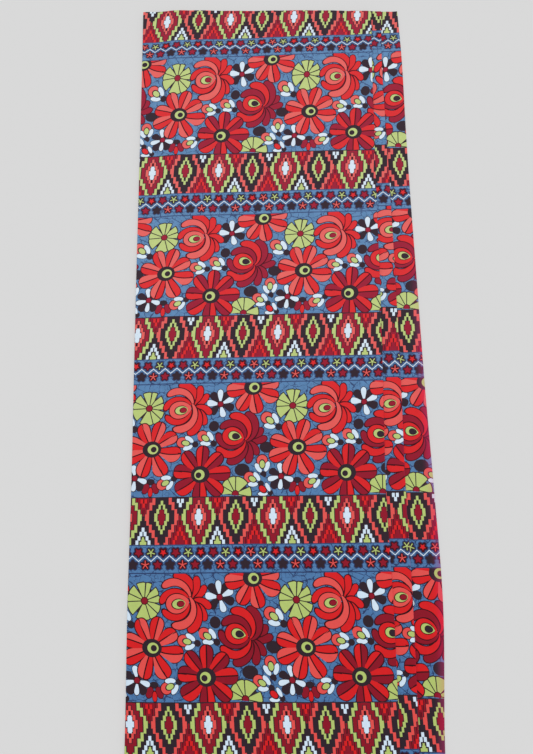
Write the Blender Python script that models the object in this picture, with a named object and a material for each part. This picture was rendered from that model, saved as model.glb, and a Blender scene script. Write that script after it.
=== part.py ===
"""A length of wax-printed cotton, folded lengthwise in flat layers and laid on a surface.

Metres, +Z up. X runs across the folded cloth and Y along it, with the far cut end at +Y.
The origin lies on the surface, under the middle of the cloth.

The one strip of cloth goes to and fro across the stack. Its top panel ends in a fold on the
right, and each fold below that one lies further out, so that two narrow strips of the layers
below show beside the top panel. The hidden layers share one solid, parted at its rim into
three leaves, each of them two layers of cloth thick.
"""

import math

import bmesh
import bpy

# Driving sizes
LENGTH = 0.914              # one yard, from cut end to cut end
LEAF_THICKNESS = 0.0018     # two layers of cotton with a little air between them
LEAF_GAP = 0.0004           # the dark line between one leaf and the next
LEAF_PITCH = LEAF_THICKNESS + LEAF_GAP
GAP_DEPTH = 0.012           # how far that line runs in under the leaf above it

# The side edges, across from the middle line, at distances along the cloth from its far end
EDGE_COLUMNS = ("along", "left", "first_fold", "second_fold", "outer_fold")
EDGE_ROWS = (
    (0.000, -0.1416, 0.0976, 0.1086, 0.1254),
    (0.060, -0.1405, 0.0968, 0.1084, 0.1278),
    (0.140, -0.1394, 0.0961, 0.1089, 0.1286),
    (0.220, -0.1383, 0.0958, 0.1101, 0.1302),
    (0.300, -0.1373, 0.0962, 0.1115, 0.1324),
    (0.400, -0.1356, 0.0957, 0.1126, 0.1350),
    (0.500, -0.1339, 0.0948, 0.1130, 0.1388),
    (0.600, -0.1331, 0.0978, 0.1151, 0.1416),
    (0.720, -0.1306, 0.0987, 0.1153, 0.1370),
    (0.914, -0.1300, 0.0990, 0.1160, 0.1382),
)

# The bottom leaf stops short of the left side, and the leaves on it sink to the surface there
BOTTOM_LEAF_INSET = 0.041
SINK_FROM = 0.038           # distance in from the left side where the sinking starts
SINK_TO = 0.014             # distance in from the left side where it is complete

# Very slight unevenness of the top panel
WAVE_HEIGHT = 0.0005
WAVE_LENGTH_ALONG = 0.23
WAVE_LENGTH_ACROSS = 0.31
WAVE_FADE = 0.025           # the unevenness dies out this far from the panel's edges

# Mesh density
STEPS_ALONG = 40
STEPS_ACROSS = 18
SIDE_CROWDING = 1.7         # above 1 gathers the steps across towards the left side
NOSE_STEPS = 4              # segments round the rounded rim of a leaf

CLOTH_COLOUR = (0.42, 0.06, 0.08, 1.0)
CLOTH_ROUGHNESS = 0.85


def smooth_step(value):
    """Ease from 0 to 1 as the value goes from 0 to 1."""
    value = min(max(value, 0.0), 1.0)
    return value * value * (3.0 - 2.0 * value)


def edge(column_name, y):
    """The place across of one side edge, on a smooth curve through the table's rows."""
    column = EDGE_COLUMNS.index(column_name)
    along = LENGTH / 2.0 - y
    last = len(EDGE_ROWS) - 1
    row = max(i for i in range(last) if EDGE_ROWS[i][0] <= max(along, 0.0))
    before = EDGE_ROWS[max(row - 1, 0)]
    start = EDGE_ROWS[row]
    end = EDGE_ROWS[row + 1]
    after = EDGE_ROWS[min(row + 2, last)]
    span = end[0] - start[0]
    part = (along - start[0]) / span
    start_slope = (end[column] - before[column]) / (end[0] - before[0]) * span
    end_slope = (after[column] - start[column]) / (after[0] - start[0]) * span
    cube = part ** 3
    square = part ** 2
    return ((2.0 * cube - 3.0 * square + 1.0) * start[column]
            + (cube - 2.0 * square + part) * start_slope
            + (3.0 * square - 2.0 * cube) * end[column]
            + (cube - square) * end_slope)


def sinking(x, y):
    """How far the upper leaves lie lower near the left side, where no bottom leaf lifts them."""
    inward = x - edge("left", y)
    return LEAF_PITCH * (1.0 - smooth_step((inward - SINK_TO) / (SINK_FROM - SINK_TO)))


def unevenness(x, y):
    """The slight waves of the top panel, which fade out towards its edges."""
    inward = min(x - edge("left", y), edge("first_fold", y) - x, LENGTH / 2.0 - abs(y))
    wave = (math.sin(math.tau * (y / WAVE_LENGTH_ALONG + 0.6 * x / WAVE_LENGTH_ACROSS))
            + math.cos(math.tau * (x / WAVE_LENGTH_ACROSS - 0.4 * y / WAVE_LENGTH_ALONG)))
    return 0.5 * WAVE_HEIGHT * wave * smooth_step(inward / WAVE_FADE)


def fixed_height(level):
    """A level that the sinking leaves unchanged, for the bottom leaf."""
    return lambda x, y: level


def sunk_height(level):
    """A level of one of the upper leaves."""
    return lambda x, y: level - sinking(x, y)


def top_height(level):
    """The top panel's face."""
    return lambda x, y: level - sinking(x, y) + unevenness(x, y)


def grid_places(right_edge, left_inset, right_inset, end_inset):
    """Rows of (x, y) over a leaf, set in from its sides and ends."""
    rows = []
    for step in range(STEPS_ALONG + 1):
        y = (LENGTH / 2.0 - end_inset) * (2.0 * step / STEPS_ALONG - 1.0)
        left = edge("left", y) + left_inset
        right = edge(right_edge, y) - right_inset
        fractions = [(i / STEPS_ACROSS) ** SIDE_CROWDING for i in range(STEPS_ACROSS + 1)]
        rows.append([(left + (right - left) * fraction, y) for fraction in fractions])
    return rows


def rim(rows):
    """The outer items of a grid in one round, anticlockwise from its near left corner."""
    near = rows[0][:-1]
    right = [row[-1] for row in rows[:-1]]
    far = rows[-1][:0:-1]
    left = [row[0] for row in rows[:0:-1]]
    return near + right + far + left


def add_ring(mesh, right_edge, left_inset, right_inset, end_inset, height):
    """A closed round of new points."""
    places = rim(grid_places(right_edge, left_inset, right_inset, end_inset))
    return [mesh.verts.new((x, y, height(x, y))) for x, y in places]


def add_panel(mesh, right_edge, inset, left_inset, height, faces_up):
    """A face over a whole leaf; returns its rim."""
    places = grid_places(right_edge, left_inset, inset, inset)
    rows = [[mesh.verts.new((x, y, height(x, y))) for x, y in row] for row in places]
    for near, far in zip(rows, rows[1:]):
        for i in range(STEPS_ACROSS):
            corners = [near[i], near[i + 1], far[i + 1], far[i]]
            mesh.faces.new(corners if faces_up else corners[::-1])
    return rim(rows)


def join_rings(mesh, rings):
    """Bands of faces from each ring to the next."""
    for lower, upper in zip(rings, rings[1:]):
        count = len(lower)
        for i in range(count):
            after = (i + 1) % count
            mesh.faces.new([lower[i], lower[after], upper[after], upper[i]])


def nose_rings(mesh, right_edge, left_inset, level, height_kind, first, last):
    """The rounded rim of a leaf, from its underside round to its top."""
    radius = LEAF_THICKNESS / 2.0
    rings = []
    for step in range(first, last + 1):
        angle = math.pi * (step / NOSE_STEPS - 0.5)
        inset = radius * (1.0 - math.cos(angle))
        height = height_kind(level + radius * (1.0 + math.sin(angle)))
        rings.append(add_ring(mesh, right_edge, left_inset + inset, inset, inset, height))
    return rings


def build_cloth_mesh():
    """The folded cloth as one closed body, lofted from its underside to its top panel."""
    mesh = bmesh.new()
    radius = LEAF_THICKNESS / 2.0
    middle_level = LEAF_PITCH
    top_level = 2.0 * LEAF_PITCH

    # Bottom leaf: flat underside, rounded rim, then in under the middle leaf
    underside = add_panel(mesh, "outer_fold", radius, BOTTOM_LEAF_INSET + radius,
                          fixed_height(0.0), faces_up=False)
    rings = [underside]
    rings += nose_rings(mesh, "outer_fold", BOTTOM_LEAF_INSET, 0.0, fixed_height, 1, NOSE_STEPS)
    inner_left = BOTTOM_LEAF_INSET + GAP_DEPTH
    rings.append(add_ring(mesh, "second_fold", inner_left, GAP_DEPTH, GAP_DEPTH,
                          fixed_height(LEAF_THICKNESS)))

    # Middle leaf: its underside comes out again and sinks to the surface on the left
    sink_steps = 5
    for step in range(sink_steps + 1):
        part = step / sink_steps
        left_inset = inner_left + (SINK_TO - inner_left) * part
        inset = GAP_DEPTH + (2.0 * radius - GAP_DEPTH) * part
        rings.append(add_ring(mesh, "second_fold", left_inset, inset, inset,
                              sunk_height(middle_level)))
    rings += nose_rings(mesh, "second_fold", 0.0, middle_level, sunk_height, 0, NOSE_STEPS)
    rings.append(add_ring(mesh, "first_fold", GAP_DEPTH, GAP_DEPTH, GAP_DEPTH,
                          sunk_height(middle_level + LEAF_THICKNESS)))

    # Top leaf, closed by the top panel
    rings.append(add_ring(mesh, "first_fold", GAP_DEPTH, GAP_DEPTH, GAP_DEPTH,
                          sunk_height(top_level)))
    rings += nose_rings(mesh, "first_fold", 0.0, top_level, sunk_height, 0, NOSE_STEPS - 1)
    top_panel = add_panel(mesh, "first_fold", radius, radius,
                          top_height(top_level + LEAF_THICKNESS), faces_up=True)
    rings.append(top_panel)

    join_rings(mesh, rings)
    return mesh


def cloth_material():
    """Printed cotton, in the mean colour of its print."""
    material = bpy.data.materials.new("printed_cotton")
    material.use_nodes = True
    shader = material.node_tree.nodes["Principled BSDF"]
    shader.inputs["Base Color"].default_value = CLOTH_COLOUR
    shader.inputs["Roughness"].default_value = CLOTH_ROUGHNESS
    shader.inputs["Metallic"].default_value = 0.0
    return material


def add_cloth(collection):
    """The cloth's object, shaded smooth but for its cut rims."""
    mesh = build_cloth_mesh()
    data = bpy.data.meshes.new("cloth")
    mesh.to_mesh(data)
    mesh.free()
    data.shade_smooth()
    data.set_sharp_from_angle(angle=math.radians(40.0))
    data.materials.append(cloth_material())
    collection.objects.link(bpy.data.objects.new("cloth", data))


def main():
    for existing in list(bpy.data.objects):
        bpy.data.objects.remove(existing)
    collection = bpy.data.collections.new("folded_ankara_fabric")
    bpy.context.scene.collection.children.link(collection)
    add_cloth(collection)


main()
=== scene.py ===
"""The looks of a length of wax-printed cotton, folded lengthwise and laid on a pale floor.

Metres in the part's frame: X across the folded cloth, Y along it, +Z up. The one cloth goes to
and fro across the stack, and each leaf of the stack is a shell of its real thickness, with
The print is charted in millimetres of the cloth, band by band
and flower by flower, and each point of the cloth carries its place in that print and how strongly a painted
sheen near its fold shows; painted shade also darkens the print towards the near end.
"""

import cmath
import math

import bpy
import numpy as np
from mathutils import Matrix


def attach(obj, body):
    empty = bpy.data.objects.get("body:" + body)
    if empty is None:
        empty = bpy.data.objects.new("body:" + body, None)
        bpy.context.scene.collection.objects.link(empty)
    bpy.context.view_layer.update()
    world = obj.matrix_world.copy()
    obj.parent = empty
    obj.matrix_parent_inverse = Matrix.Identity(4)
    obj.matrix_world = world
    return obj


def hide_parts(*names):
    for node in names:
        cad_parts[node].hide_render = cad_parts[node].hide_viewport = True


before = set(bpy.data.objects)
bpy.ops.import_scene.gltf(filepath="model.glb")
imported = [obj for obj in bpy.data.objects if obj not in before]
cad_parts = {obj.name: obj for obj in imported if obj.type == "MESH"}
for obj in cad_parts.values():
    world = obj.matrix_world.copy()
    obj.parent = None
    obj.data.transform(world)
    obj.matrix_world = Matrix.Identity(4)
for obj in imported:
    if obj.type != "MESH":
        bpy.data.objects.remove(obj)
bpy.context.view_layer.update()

# The folded cloth, as in the part's construction
LENGTH = 0.914              # one yard, from cut end to cut end
EDGE_ALONG = (0.000, 0.060, 0.140, 0.220, 0.300, 0.400, 0.500, 0.600, 0.720, 0.914)
EDGE_PLACES = {             # places across, at those distances from the far cut end
    "left": (-0.1416, -0.1405, -0.1394, -0.1383, -0.1373,
             -0.1356, -0.1339, -0.1331, -0.1306, -0.1300),
    "first_fold": (0.0974, 0.0962, 0.0960, 0.0958, 0.0962,
                   0.0957, 0.0948, 0.0978, 0.0987, 0.0990),
    "second_fold": (0.1080, 0.1067, 0.1083, 0.1101, 0.1115,
                    0.1126, 0.1130, 0.1151, 0.1153, 0.1160),
    "outer_fold": (0.1254, 0.1278, 0.1286, 0.1302, 0.1324,
                   0.1350, 0.1388, 0.1416, 0.1370, 0.1382),
}
SINK_FROM = 0.038           # distance in from the left side where the upper layers start to sink
SINK_TO = 0.014
SINK_DEPTH = 0.0022
BOTTOM_LEAF_INSET = 0.041
WAVE_HEIGHT = 0.0005
WAVE_LENGTH_ALONG = 0.23
WAVE_LENGTH_ACROSS = 0.31
WAVE_FADE = 0.025

# Layers of cloth: heights of their middle surfaces, at the left and the right of the stack
CLOTH_THICKNESS = 0.00045
NOSE_RADIUS = 0.00065       # of the middle surface round a fold
NOSE_ARC = 1000.0 * NOSE_RADIUS * math.pi       # millimetres of cloth round a fold
NOSE_SETBACK = NOSE_RADIUS + CLOTH_THICKNESS / 2.0
TURNED_EDGE = 0.022         # width of the edges turned under at the first and last layer
TOP_PANEL_LEVEL = 0.00595
TOP_TURN_LEVEL = 0.00465
SECOND_LEVELS = (0.00375, 0.00465)
THIRD_LEVELS = (0.00245, 0.00375)
FOURTH_LEVELS = (0.00155, 0.00245)
FIFTH_LEVELS = (0.00025, 0.00155)
BOTTOM_TURN_LEVEL = 0.00025
SPLIT_SECOND = 0.48         # where the hidden second layer passes from one leaf's piece to the next
SPLIT_FOURTH = 0.52
SECOND_SLOPE_START = 0.024  # where the second layer starts to rise, in from the left side
THIRD_SLOPE = (0.040, 0.020)        # the third one's slope, in from the left side and first fold
FOURTH_SLOPE_START = 0.010
FIFTH_SLOPE = (0.075, 0.026)        # start and end of the fifth one's, both in from the outer fold

# Slight unevenness of what is hidden or at the rim
RIPPLE_HEIGHT = 0.00010     # of the strips that show beside the top panel
RIPPLE_LENGTHS = (0.117, 0.31, 0.2)         # a short wave along, and a long one along and across
THIRD_RIPPLE = (0.3, 0.003)         # its phase, and the distance over which it grows from the fold
FIFTH_RIPPLE = (0.8, 0.004)
MIDDLE_LEAF_INSET = 0.0008
MIDDLE_LEAF_WANDER = 0.0005
MIDDLE_LEAF_WAVE = (0.41, 0.2)      # length of that wave, and its phase in turns
STRIP_HIDDEN = 0.006        # how far a strip's finer columns reach in under the fold above it
STRIP_CALM = 0.005          # its ripple grows over this distance from there
STRIP_STEP = 0.0005         # between the coarser columns and the finer ones
RAGGED_TOP = ((0.0006, 0.083), (0.0012, 0.29))          # heights and lengths of the waves in the
RAGGED_BOTTOM = ((0.0008, 0.097), (0.0010, 0.33))       # turned edges' cut sides
RAGGED_END = 0.0004         # how unevenly the layers are cut off at their ends
RAGGED_RATE = 0.19          # radians of that wave from one column to the next
END_WANDER = (              # the cut line's own waves: height, radians to a metre, share of the phase
    (0.00015, 190.0, 1.0), (0.0001, 530.0, 2.0),
)

# Mesh density
ROWS = 190
NOSE_COLUMNS = 9
PANEL_COLUMNS = 62
STRIP_COLUMNS = 12
TURNED_COLUMNS = 6
SECOND_COLUMNS = 16         # of either leaf's share of a hidden layer
FOURTH_COLUMNS = 14
THIRD_COLUMNS = 30          # of the hidden part of a layer whose edge shows
FIFTH_COLUMNS = 34

# The print: one repeat across and along, and its bands up from a diamond band's bottom line
REPEAT_ACROSS = 132.5
REPEAT_ALONG = 170.0
DIAMOND_BAND = 40.4
FLORAL_BAND = 106.2
PRINT_ORIGIN = -0.1190      # place across where the chart starts, where the print hasn't drifted
DRIFT_ALONG = (0.000, 0.0825, 0.1821, 0.2546, 0.3521, 0.4237, 0.5225, 0.5938, 0.6950, 0.800, 0.914)
DRIFT = (20.7, 15.3, 10.1, 7.1, 1.9, -1.6, -3.0, 0.2, 8.7, 13.9, 17.0)
STRETCH_ACROSS = 1.005      # millimetres of print to a millimetre across
STRAY_ALONG = (0.000, 0.036, 0.052, 0.075, 0.101, 0.125, 0.160, 0.199, 0.2375, 0.2755,
               0.3126, 0.385, 0.455, 0.489, 0.555, 0.620, 0.712, 0.914)
STRAY = (38.0, 37.4, 34.6, 34.2, 37.4, 38.5, 39.1, 40.1, 39.6, 38.2,
         37.7, 38.0, 37.1, 36.9, 37.7, 38.1, 38.6, 38.7)
BAND_TILT = 0.042           # rise of the bands to the right at the far end
BAND_TILT_END = 0.72        # distance from the far end where they no longer rise
# How the print on the third and fifth layers is moved from the top one's, across and along it
SHIFT_ALONG = (0.000, 0.035, 0.066, 0.110, 0.160, 0.200, 0.275, 0.345, 0.385, 0.450, 0.500,
               0.600, 0.650, 0.700, 0.914)
THIRD = ((474.1, 474.1, 474.1, 473.6, 473.2, 472.8, 470.8, 470.1, 470.0, 469.3, 469.3,
          467.9, 468.2, 468.0, 468.4),
         (-5.1, -4.6, -3.6, -5.6, -6.0, -6.5, -5.5, -5.5, -3.3, -3.8, -2.9, -4.0, -5.3, -4.5, -4.5))
FIFTH = ((911.8, 911.9, 911.9, 915.8, 913.2, 911.1, 905.6, 903.6, 899.6, 897.3, 896.5,
          895.3, 896.1, 896.6, 897.0),
         (-1.3, -1.3, -1.6, -3.4, -3.2, -3.5, -3.4, -3.0, -3.0, -2.5, -1.7, -3.3, -1.9, -1.7, -2.0))

# Ink numbers of the chart
NEAR_BLACK, MAROON, CRIMSON, RED, CORAL, LIME, WHITE, BLUE, DEEP_BLUE = range(9)
INKS = 9
INK_COLOURS = (
    "362832", "4E1220", "9C2239", "DB3034", "E56662", "BECE84", "D8E7F4", "628AB4", "3E5078",
)

# The studio
FLOOR_TONE = 0.30
FLOOR_GLOW = 0.39
SURROUND = 0.62
BROAD_LIGHT_SPREAD = 50.0
BROAD_LIGHT_TILT = (-22.0, 6.0)      # about X and Y, in degrees

# The photograph's framing
CAMERA_TARGET = (-0.0123, 0.0620, 0.0055)
CAMERA_DISTANCE = 0.741777
CAMERA_ELEVATION = 76.0
PHOTO_HEIGHT_PIXELS = 754
FOCAL_PIXELS = 800.0
SENSOR = 36.0


def linear_colour(code):
    """A hexadecimal screen colour as linear red, green, blue and 1."""
    values = [int(code[i:i + 2], 16) / 255.0 for i in (0, 2, 4)]
    return [v / 12.92 if v <= 0.04045 else ((v + 0.055) / 1.055) ** 2.4 for v in values] + [1.0]


# Curves through short tables

def smooth_step(value):
    """Ease from 0 to 1 as the value goes from 0 to 1."""
    value = np.clip(value, 0.0, 1.0)
    return value * value * (3.0 - 2.0 * value)


def smooth_curve(places, values, wanted):
    """The value at each wanted place, on a smooth curve through a table's rows."""
    places, values = np.array((places, values))
    padded = np.pad((places, values), ((0, 0), (1, 1)), mode="edge")
    steps = padded[:, 2:] - padded[:, :-2]
    slopes = steps[1] / steps[0]
    row = np.clip(np.searchsorted(places, wanted, side="right") - 1, 0, len(places) - 2)
    span = places[row + 1] - places[row]
    part = (wanted - places[row]) / span
    cube = part ** 3
    square = part ** 2
    return ((2.0 * cube - 3.0 * square + 1.0) * values[row]
            + (cube - 2.0 * square + part) * span * slopes[row]
            + (3.0 * square - 2.0 * cube) * values[row + 1]
            + (cube - square) * span * slopes[row + 1])


# Places along the cloth, one to a row, from the near cut end to the far one
ALONG = np.linspace(-LENGTH / 2.0, LENGTH / 2.0, ROWS).reshape(-1, 1)


def edge(name, y=ALONG):
    """The place across of one side edge of the stack."""
    return smooth_curve(EDGE_ALONG, EDGE_PLACES[name], LENGTH / 2.0 - y)


def sinking(x):
    """How far the upper layers lie lower near the left side, where no bottom leaf lifts them."""
    inward = x - edge("left")
    return SINK_DEPTH * (1.0 - smooth_step((inward - SINK_TO) / (SINK_FROM - SINK_TO)))


def top_panel(x):
    """The height of the top panel, with slight waves that fade out towards its edges."""
    inward = np.minimum(np.minimum(x - edge("left"), edge("first_fold") - x),
                        LENGTH / 2.0 - np.abs(ALONG))
    wave = (np.sin(math.tau * (ALONG / WAVE_LENGTH_ALONG + 0.6 * x / WAVE_LENGTH_ACROSS))
            + np.cos(math.tau * (x / WAVE_LENGTH_ACROSS - 0.4 * ALONG / WAVE_LENGTH_ALONG)))
    unevenness = 0.5 * WAVE_HEIGHT * wave * smooth_step(inward / WAVE_FADE)
    return TOP_PANEL_LEVEL - sinking(x) + unevenness


def printed(x, shift=None):
    """A place across that shows, and where it lies in the print, in millimetres across and along.

    The shift is that of a lower layer, as a table of moves across and one of moves along."""
    down = LENGTH / 2.0 - ALONG
    tilt = BAND_TILT * np.clip(1.0 - down / BAND_TILT_END, 0.0, 1.0)
    along = LENGTH / 2.0 - (ALONG - tilt * (x - edge("left")))
    stray = smooth_curve(STRAY_ALONG, STRAY, np.clip(along, 0.0, STRAY_ALONG[-1]))
    u = 1000.0 * STRETCH_ACROSS * (x - PRINT_ORIGIN) - smooth_curve(DRIFT_ALONG, DRIFT, down)
    v = stray - 1000.0 * along
    if shift:
        u = u + np.interp(down, SHIFT_ALONG, shift[0])
        v = v + np.interp(down, SHIFT_ALONG, shift[1])
    return x, u, v


def further(point, distance, x=None):
    """A point moved across in the print, by millimetres, and over to another place across."""
    return point[0] if x is None else x, point[1] + distance, point[2]


# The folded cloth's layers

class Leaf:
    """Points of one leaf of the stack, gathered column by column along the cloth's width.

    A point of the middle surface is its place across and its place in the print."""

    def __init__(self):
        self.columns = []

    def add_layer(self, start, end, count, height):
        """A hidden flat layer from one point to another, with the print run evenly between."""
        for part in np.linspace(0.0, 1.0, count):
            x, u, v = [a + (b - a) * part for a, b in zip(start, end)]
            self.columns.append((x, height(x), u, v))

    def add_shown(self, x_from, x_to, count, height, shift=None):
        """A flat layer that shows, with the print where the photograph has it."""
        for part in np.linspace(0.0, 1.0, count):
            x, u, v = printed(x_from + (x_to - x_from) * part, shift)
            self.columns.append((x, height(x), u, v))

    def add_nose(self, start, height, side, rising=False):
        """A rounded fold that starts at a point; side is 1 where it bulges to the right."""
        turns = np.linspace(-90.0, 90.0, NOSE_COLUMNS)[1:-1]
        for step, turn in enumerate(turns if rising else -turns):
            angle = math.radians(turn)
            x, u, v = further(start, NOSE_ARC * (step + 1) / (NOSE_COLUMNS - 1))
            self.columns.append((x + side * NOSE_RADIUS * math.cos(angle),
                                 height + NOSE_RADIUS * math.sin(angle), u, v))

    def add_strip(self, left, above, right, count, height, shift, phase, calm):
        """A lower layer that shows, slightly rippled, beyond the fold above it."""
        shown_from = above - STRIP_HIDDEN

        def rippled(x):
            fade = smooth_step((right - x) / calm) * smooth_step((x - shown_from) / STRIP_CALM)
            short, long, wide = RIPPLE_LENGTHS
            wave = (np.sin(math.tau * (ALONG / short + phase))
                    * np.cos(math.tau * (ALONG / long + x / wide)))
            return height(x) + RIPPLE_HEIGHT * wave * fade

        self.add_shown(left, shown_from, count, height, shift)
        self.add_shown(shown_from + STRIP_STEP, right, STRIP_COLUMNS, rippled, shift)

    def arrays(self):
        """The x, z, u and v of every point, as rows along the cloth and columns across it."""
        return [np.column_stack([np.broadcast_to(column[i], (ROWS, 1)) for column in self.columns])
                for i in range(4)]


def sloping(levels, left, right):
    """A height that goes from one level at the left to another at the right."""
    return lambda x: levels[0] + (levels[1] - levels[0]) * smooth_step((x - left) / (right - left))


def sunk(height):
    """The height of an upper layer, which sinks towards the left side."""
    return lambda x: height(x) - sinking(x)


def waves(rows):
    """The sum of waves along the cloth; rows are (height, length)."""
    return sum(height * np.sin(math.tau * ALONG / length) for height, length in rows)


def share_layer(upper, lower, start, end, part, count, height):
    """A hidden layer between two folds, which passes from one leaf to the next on its way."""
    split = [a + (b - a) * part for a, b in zip(start, end)]
    upper.add_layer(start, split, count, height)
    lower.add_layer(split, end, count, height)


def fold_cloth():
    """The one cloth as three leaves, followed to and fro from its upper turned edge down."""
    top, middle, bottom = Leaf(), Leaf(), Leaf()
    left = edge("left") + NOSE_SETBACK
    first = edge("first_fold") - NOSE_SETBACK
    second = edge("second_fold") - NOSE_SETBACK
    outer = edge("outer_fold") - NOSE_SETBACK
    turns = ALONG / MIDDLE_LEAF_WAVE[0] + MIDDLE_LEAF_WAVE[1]
    middle_left = left + MIDDLE_LEAF_INSET + MIDDLE_LEAF_WANDER * np.sin(math.tau * turns)
    bottom_left = left + BOTTOM_LEAF_INSET
    second_height = sunk(sloping(SECOND_LEVELS, left + SECOND_SLOPE_START, first))
    third_height = sunk(sloping(THIRD_LEVELS, middle_left + THIRD_SLOPE[0], first - THIRD_SLOPE[1]))
    fourth_height = sloping(FOURTH_LEVELS, bottom_left + FOURTH_SLOPE_START, second)
    fifth_height = sloping(FIFTH_LEVELS, outer - FIFTH_SLOPE[0], outer - FIFTH_SLOPE[1])

    # The turned edge and the top panel
    start = further(printed(left), -NOSE_ARC)
    cut_side = further(start, -1000.0 * TURNED_EDGE, left + TURNED_EDGE + waves(RAGGED_TOP))
    turn_middle = (TOP_PANEL_LEVEL + TOP_TURN_LEVEL) / 2.0
    top.add_layer(cut_side, start, TURNED_COLUMNS, sunk(lambda x: TOP_TURN_LEVEL))
    top.add_nose(start, turn_middle - sinking(left), -1.0, rising=True)
    top.add_shown(left, first, PANEL_COLUMNS, top_panel)
    top.add_nose(printed(first), turn_middle, 1.0)

    # The second layer, and the third one, whose edge shows
    end = further(printed(middle_left, THIRD), -NOSE_ARC)
    share_layer(top, middle, further(printed(first), NOSE_ARC), end, SPLIT_SECOND, SECOND_COLUMNS,
                second_height)
    middle.add_nose(end, (SECOND_LEVELS[0] + THIRD_LEVELS[0]) / 2.0 - sinking(middle_left), -1.0)
    middle.add_strip(middle_left, first, second, THIRD_COLUMNS, third_height, THIRD, *THIRD_RIPPLE)
    middle.add_nose(printed(second, THIRD), (THIRD_LEVELS[1] + FOURTH_LEVELS[1]) / 2.0, 1.0)

    # The fourth layer, and the fifth one, whose edge shows, with the last turned edge
    end = further(printed(bottom_left, FIFTH), -NOSE_ARC)
    share_layer(middle, bottom, further(printed(second, THIRD), NOSE_ARC), end, SPLIT_FOURTH,
                FOURTH_COLUMNS, fourth_height)
    bottom.add_nose(end, (FOURTH_LEVELS[0] + FIFTH_LEVELS[0]) / 2.0, -1.0)
    bottom.add_strip(bottom_left, second, outer, FIFTH_COLUMNS, fifth_height, FIFTH, *FIFTH_RIPPLE)
    bottom.add_nose(printed(outer, FIFTH), (FIFTH_LEVELS[1] + BOTTOM_TURN_LEVEL) / 2.0, 1.0)
    end = further(printed(outer, FIFTH), NOSE_ARC)
    cut_side = further(end, 1000.0 * TURNED_EDGE, outer - TURNED_EDGE + waves(RAGGED_BOTTOM))
    bottom.add_layer(end, cut_side, TURNED_COLUMNS, lambda x: BOTTOM_TURN_LEVEL)
    return top, middle, bottom


# Shells with thickness, from the leaves

def pull_in_ends(x, phase, reach):
    """Places along, with each layer's cut ends a little behind or before its neighbours', and
    the leaf reaching that far past the others at the far end."""
    behind = RAGGED_END * (1.0 + np.sin(np.arange(x.shape[1]) * RAGGED_RATE + phase))
    wander = sum(height * np.sin(x * rate + share * phase) for height, rate, share in END_WANDER)
    part = ALONG / (LENGTH / 2.0)
    return ALONG - part * np.clip(behind + wander, 0.0, None) + reach * smooth_step(part * 4.0 - 3.0)


def surface_normals(points):
    """Unit normals of a grid of points, towards the print's face."""
    normals = np.cross(np.gradient(points, axis=1), np.gradient(points, axis=0))
    return normals / np.linalg.norm(normals, axis=2, keepdims=True)


def face_corners(grid, flipped=False):
    """The values at the four corners of each face of a grid, from those at its points."""
    corners = [grid[:-1, :-1], grid[:-1, 1:], grid[1:, 1:], grid[1:, :-1]]
    return np.stack(corners[::-1] if flipped else corners, axis=2)


def rim_of(grid):
    """The outer values of a grid in one round."""
    return np.concatenate([grid[0, :-1], grid[:-1, -1], grid[-1, :0:-1], grid[:0:-1, 0]])


# The bake map: the columns that show get nearly all of it, cut into chunks of
# the length, and what is hidden shares a narrow margin at its right
MAP_CHUNKS = 4
MAP_MARGIN = 0.05
MAP_GAP = 0.002
MAP_MARGIN_BOX = 0.42       # width of either box in the margin, as a part of it
MAP_BACK_FROM = 0.52        # the back's box starts this part of it before the map's right side
MAP_RIM_FACE = ((0.9955, 0.0), (0.9960, 0.0), (0.9960, 0.001), (0.9955, 0.001))
MAP_RIM_TOP = 0.997


def map_corners(box, across, along, flipped=False):
    """Places in the map of a block of faces, whose lines divide a box from 0 to 1.

    The box is (left, bottom, width, height)."""
    grid = np.meshgrid(box[0] + box[2] * across, box[1] + box[3] * along)
    return face_corners(np.stack(grid, axis=2), flipped)


def shell_map(widths, lengths, shown, rim_faces):
    """Places in the map of all faces of a shell: its printed face, its back and its cut rim."""
    first, last = shown
    side = (1.0 - MAP_MARGIN) / 2.0
    chunk_size = (side - 2.0 * MAP_GAP, 0.5 - 2.0 * MAP_GAP)
    margin_size = (MAP_MARGIN * MAP_MARGIN_BOX, 1.0 - 2.0 * MAP_GAP)
    front = np.zeros((ROWS - 1, len(widths) - 1, 4, 2))
    shown_widths = (widths[first:last + 1] - widths[first]) / (widths[last] - widths[first])
    for chunk, rows in enumerate(np.array_split(np.arange(ROWS - 1), MAP_CHUNKS)):
        lines = lengths[rows[0]:rows[-1] + 2]
        box = (chunk % 2 * side + MAP_GAP, chunk // 2 / 2.0 + MAP_GAP, *chunk_size)
        front[rows, first:last] = map_corners(box, shown_widths, (lines - lines[0]) / (lines[-1] - lines[0]))
    along = np.linspace(0.0, 1.0, ROWS)
    hidden = np.linspace(0.0, 1.0, len(widths) - (last - first))
    box = (1.0 - MAP_MARGIN + MAP_GAP / 2.0, MAP_GAP, *margin_size)
    front[:, :first] = map_corners(box, hidden[:first + 1], along)
    front[:, last:] = map_corners(box, hidden[first:], along)
    box = (1.0 - MAP_MARGIN * MAP_BACK_FROM, MAP_GAP, *margin_size)
    back = map_corners(box, np.linspace(0.0, 1.0, len(widths)), along, flipped=True)
    rim = np.tile(MAP_RIM_FACE, (rim_faces, 1, 1))
    rim[:, :, 1] += np.linspace(MAP_GAP, MAP_RIM_TOP, rim_faces)[:, None]
    return np.concatenate([front.reshape(-1, 4, 2), back.reshape(-1, 4, 2), rim])


FOLD_SHEEN_FROM = 0.2            # distance from the far end where the painted sheen at the folds starts, and over which it grows to its full strength
FOLD_SHEEN_OVER = 0.25           # they reach their full paleness


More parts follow.
